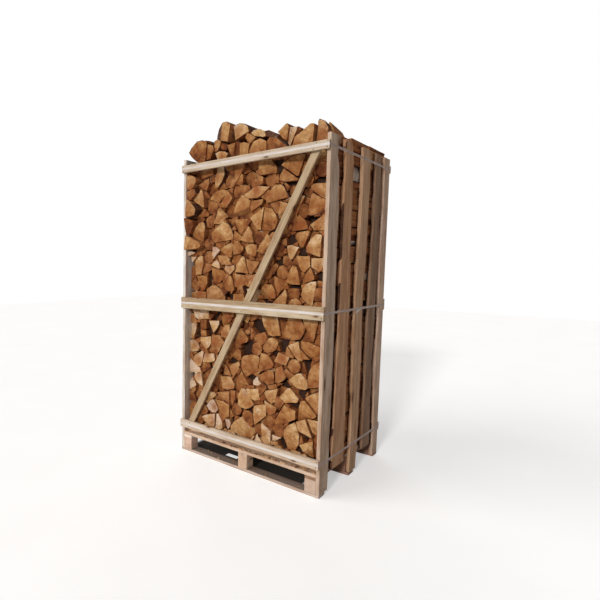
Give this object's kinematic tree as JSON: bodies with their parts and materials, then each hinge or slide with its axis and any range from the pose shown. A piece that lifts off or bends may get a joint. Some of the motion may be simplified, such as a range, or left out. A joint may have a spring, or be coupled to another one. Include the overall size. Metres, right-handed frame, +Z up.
{
  "type": "pallet of firewood",
  "caption": "Tall slatted wooden crate on a pallet, filled with stacked split birch logs and held by flat bands, with fork pockets on all sides.",
  "frame": {"origin": "on the floor under the middle of the pallet", "axes": "+Z up; -Y towards the front with the visible brace; +X to the right seen from the front"},
  "size_m": [1.2022, 1.0468, 2.522],
  "materials": {
    "rail_pine": "rough sawn, pale cream",
    "upright_pine": "rough sawn with waney edges",
    "pallet_pine": "rough sawn",
    "block_wood": "sawn block, end grain to the front",
    "split_birch": "sawn ends, split sides and bark",
    "band_plastic": "translucent white strapping",
    "nail_steel": "blank nail heads that have started to rust, shown in the visual model only"
  },
  "bodies": {
    "root": {"skid_front": "pallet_pine", "skid_middle": "pallet_pine", "skid_rear": "pallet_pine", "block_front_left": "block_wood", "block_front_center": "block_wood", "block_front_right": "block_wood", "block_middle_left": "block_wood", "block_middle_center": "block_wood", "block_middle_right": "block_wood", "block_rear_left": "block_wood", "block_rear_center": "block_wood", "block_rear_right": "block_wood", "stringer_left": "pallet_pine", "stringer_center": "pallet_pine", "stringer_right": "pallet_pine", "deck_board_1": "pallet_pine", "deck_board_2": "pallet_pine", "deck_board_3": "pallet_pine", "deck_board_4": "pallet_pine", "deck_board_5": "pallet_pine", "deck_board_6": "pallet_pine", "deck_board_7": "pallet_pine", "post_left_front": "upright_pine", "post_left_middle": "upright_pine", "post_left_rear": "upright_pine", "slat_left_front": "upright_pine", "slat_left_rear": "upright_pine", "post_right_front": "upright_pine", "post_right_middle": "upright_pine", "post_right_rear": "upright_pine", "slat_right_front": "upright_pine", "slat_right_rear": "upright_pine", "rail_front_bottom": "rail_pine", "rail_front_middle": "rail_pine", "rail_front_top": "rail_pine", "brace_front": "rail_pine", "rail_rear_bottom": "rail_pine", "rail_rear_middle": "rail_pine", "rail_rear_top": "rail_pine", "brace_rear": "rail_pine", "band_bottom": "band_plastic", "band_middle": "band_plastic", "band_top": "band_plastic", "firewood_row_front": "split_birch", "firewood_row_middle": "split_birch", "firewood_row_rear": "split_birch"}
  },
  "joints": []
}
